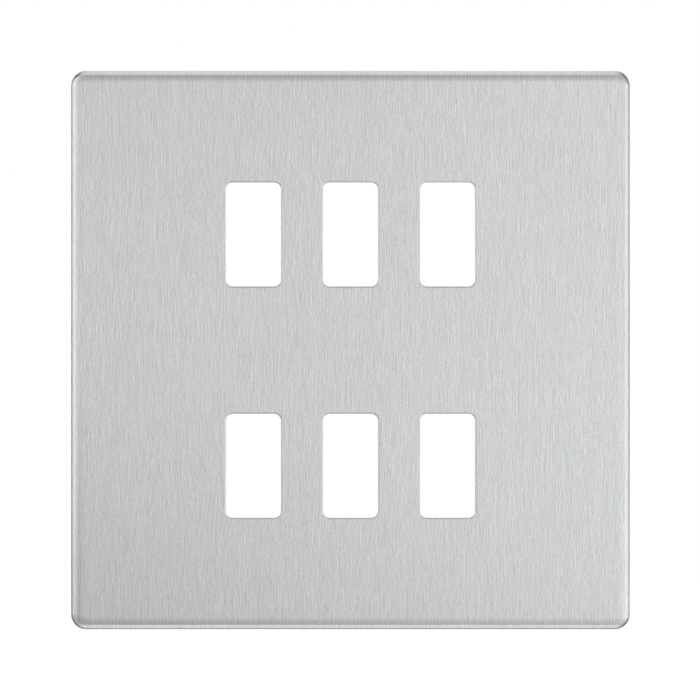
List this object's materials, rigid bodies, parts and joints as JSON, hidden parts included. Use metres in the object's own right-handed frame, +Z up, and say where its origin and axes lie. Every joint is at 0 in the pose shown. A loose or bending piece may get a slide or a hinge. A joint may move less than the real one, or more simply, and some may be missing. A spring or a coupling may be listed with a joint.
{
  "type": "grid switch plate",
  "caption": "Square screwless front plate of brushed steel with a grid of upright module apertures; it snaps onto a mounting frame over a wall box.",
  "frame": {"origin": "middle of the plate on the wall plane, which the rim's back edge lies on", "axes": "+X to the right and +Z up as the plate hangs, seen from the room; +Y into the wall, so the front face looks along -Y"},
  "size_m": [0.146, 0.005, 0.146],
  "materials": {
    "brushed_steel_sheet": "stainless steel brushed along Z, with a clear satin surface",
    "black_moulding": "finely textured black moulding",
    "spring_bronze": "rolled phosphor bronze strip"
  },
  "bodies": {
    "root": {"front_plate": "brushed_steel_sheet", "clip_frame": "black_moulding", "earth_spring": "spring_bronze"}
  },
  "joints": []
}
